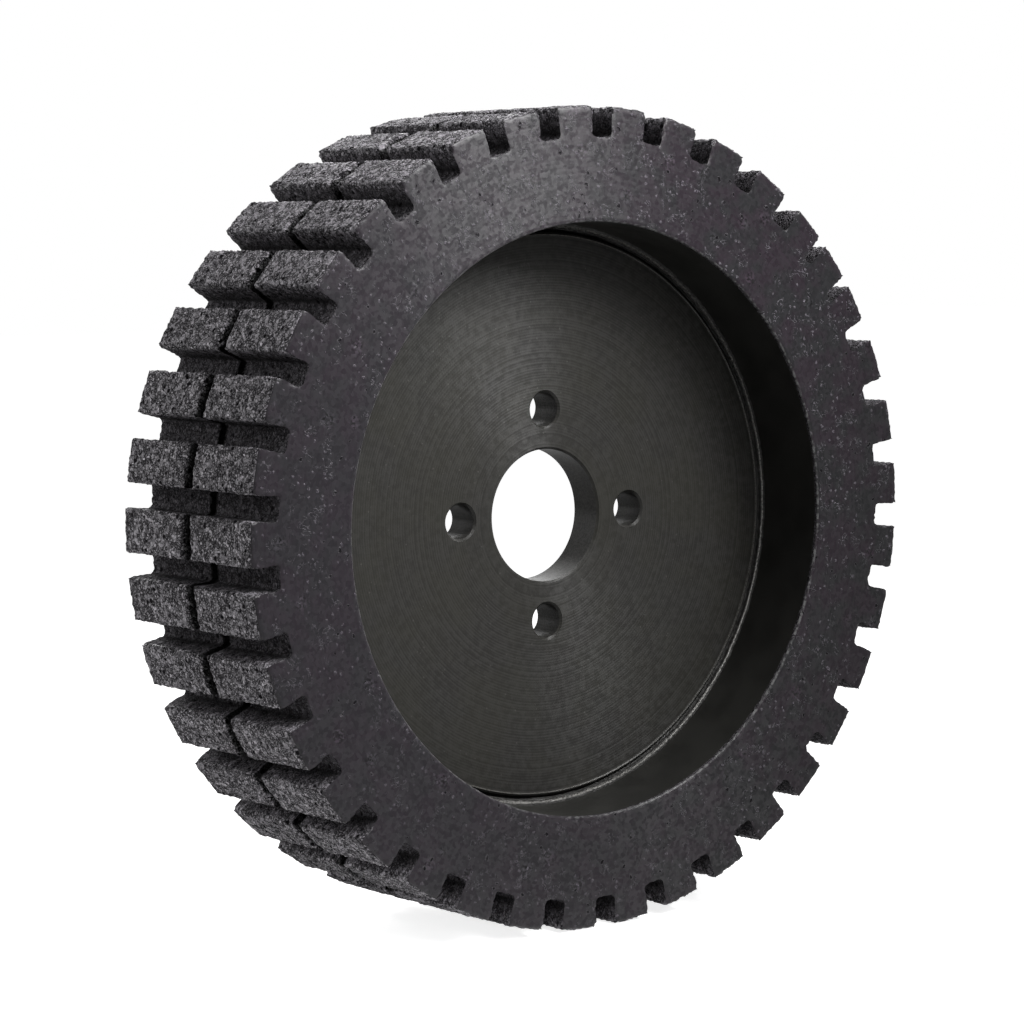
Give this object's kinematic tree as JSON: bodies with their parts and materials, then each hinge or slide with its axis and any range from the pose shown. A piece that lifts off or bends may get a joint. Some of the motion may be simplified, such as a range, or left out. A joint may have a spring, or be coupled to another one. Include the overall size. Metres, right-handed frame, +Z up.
{
  "type": "drive wheel",
  "caption": "Wide solid rubber drive wheel with a cross-slotted crumb tread and a deep dish, whose thick hub plate has a centre bore and a circle of bolt holes.",
  "frame": {"origin": "the wheel's centre, on its axis and halfway across the tread", "axes": "+Y along the wheel's axis towards its back, so the shallower dish faces -Y; +Z up, +X to the right seen from the dish"},
  "size_m": [0.305, 0.084, 0.305],
  "materials": {
    "plate_steel": "satin black coat over a turned face, with a faint olive cast and fine round tool marks",
    "band_steel": "smooth satin black coat",
    "weld": "rippled bead under black coat",
    "adhesive": "cured black adhesive",
    "crumb_rubber": "bonded rubber crumb: rough grains on the tread and in the slots, turned smooth on the side faces"
  },
  "bodies": {
    "root": {"hub_plate": "plate_steel", "rim_band": "band_steel", "front_weld_bead": "weld", "rear_weld_bead": "weld", "tyre_bond_layer": "adhesive", "front_tyre_ring": "crumb_rubber", "rear_tyre_ring": "crumb_rubber"}
  },
  "joints": []
}
